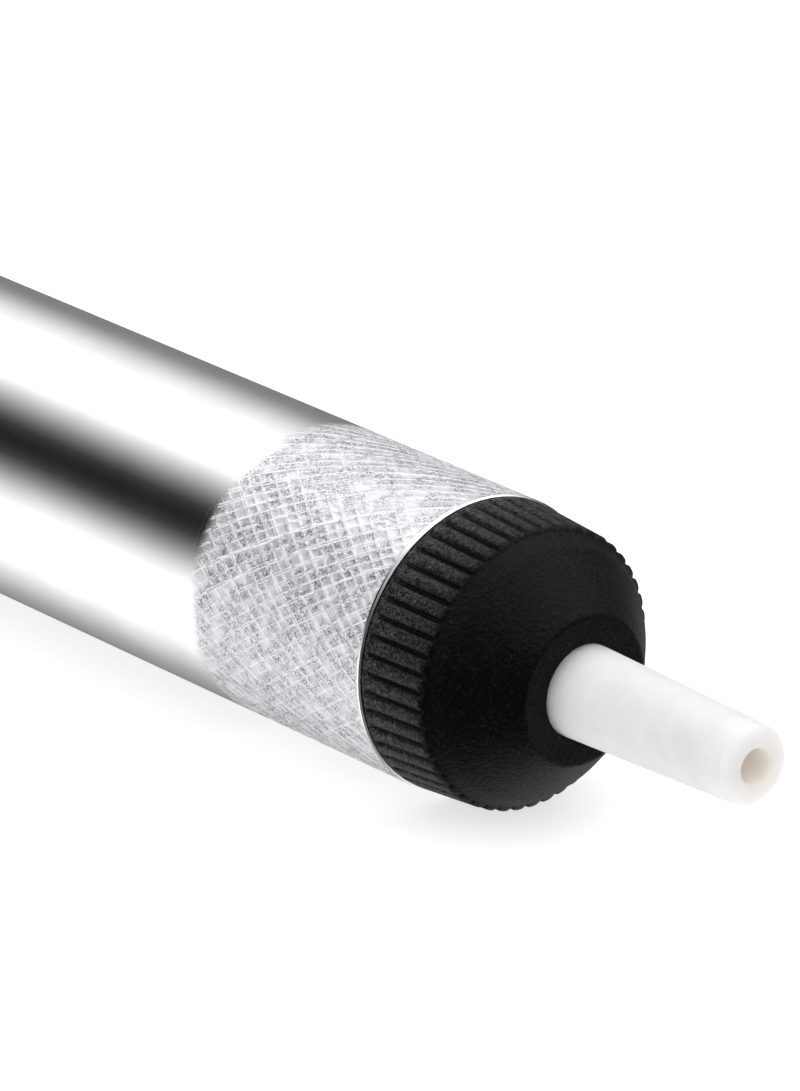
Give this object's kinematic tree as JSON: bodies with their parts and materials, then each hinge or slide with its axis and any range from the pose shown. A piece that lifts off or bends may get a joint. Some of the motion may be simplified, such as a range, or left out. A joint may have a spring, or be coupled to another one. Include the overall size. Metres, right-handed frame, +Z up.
{
  "type": "desoldering pump",
  "caption": "Hand-held desoldering pump: knurled plated barrel, ribbed nose cap with a white heat-proof nozzle, sprung plunger with thumb knob, latch and release button.",
  "frame": {"origin": "on the surface that the pump lies on, under the middle of its whole length with the plunger out", "axes": "+X along the pump towards the nozzle, +Z up through the release button"},
  "size_m": [0.2082, 0.0222, 0.0227],
  "materials": {
    "barrel_chrome": "mirror plated tube, with a knurled band near the nose",
    "black_plastic": "satin moulded, fine grain",
    "white_ptfe": "waxy white, slightly translucent",
    "white_acetal": "satin machined",
    "seal_rubber": "soft black",
    "bright_steel": "ground and polished",
    "spring_steel": "drawn wire",
    "brass_fittings": "turned",
    "button_plastic": "moulded, slightly glossy",
    "knob_disc_chrome": "spun, bright"
  },
  "bodies": {
    "barrel": {"barrel_tube": "barrel_chrome", "main_spring": "spring_steel", "return_bumper": "seal_rubber", "latch_housing": "black_plastic", "latch_spring": "spring_steel", "button_guard": "black_plastic", "housing_screws": "bright_steel", "rear_cap": "black_plastic", "rod_bush": "white_acetal"},
    "nose_seal": {"nose_o_ring": "seal_rubber"},
    "nose": {"nose_cap": "black_plastic", "nozzle": "white_ptfe", "spring_washer": "bright_steel"},
    "plunger": {"piston": "white_acetal", "piston_o_ring": "seal_rubber", "needle_holder": "brass_fittings", "cleaning_needle": "bright_steel", "plunger_rod": "bright_steel", "piston_lock_nut": "bright_steel", "knob_bumper": "seal_rubber", "thumb_knob": "black_plastic", "knob_insert": "brass_fittings", "knob_end_disc": "knob_disc_chrome"},
    "release": {"release_button": "button_plastic", "button_pin": "bright_steel", "latch_plate": "bright_steel"}
  },
  "joints": [
    {"name": "plunger_slide", "type": "slide", "parent": "barrel", "child": "plunger", "axis": [1, 0, 0], "range_m": [0, 0.04], "stiffness_N_per_m": 300, "springref_m": -0.015, "deforming": ["main_spring"]},
    {"name": "button_press", "type": "slide", "parent": "barrel", "child": "release", "axis": [0, 0, -1], "range_m": [0, 0.002], "stiffness_N_per_m": 400, "springref_m": -0.001, "deforming": ["latch_spring"]},
    {"name": "nose_advance", "type": "slide", "parent": "barrel", "child": "nose_seal", "axis": [1, 0, 0], "range_m": [0, 0.006]},
    {"name": "nose_unscrew", "type": "hinge", "parent": "nose_seal", "child": "nose", "pos_m": [0.07765, 0, 0.01], "axis": [1, 0, 0], "range_deg": [0, 2161]}
  ],
  "couplings": [
    {"joint": "nose_unscrew", "follows": "nose_advance", "rad_per_m": 6283.2}
  ]
}
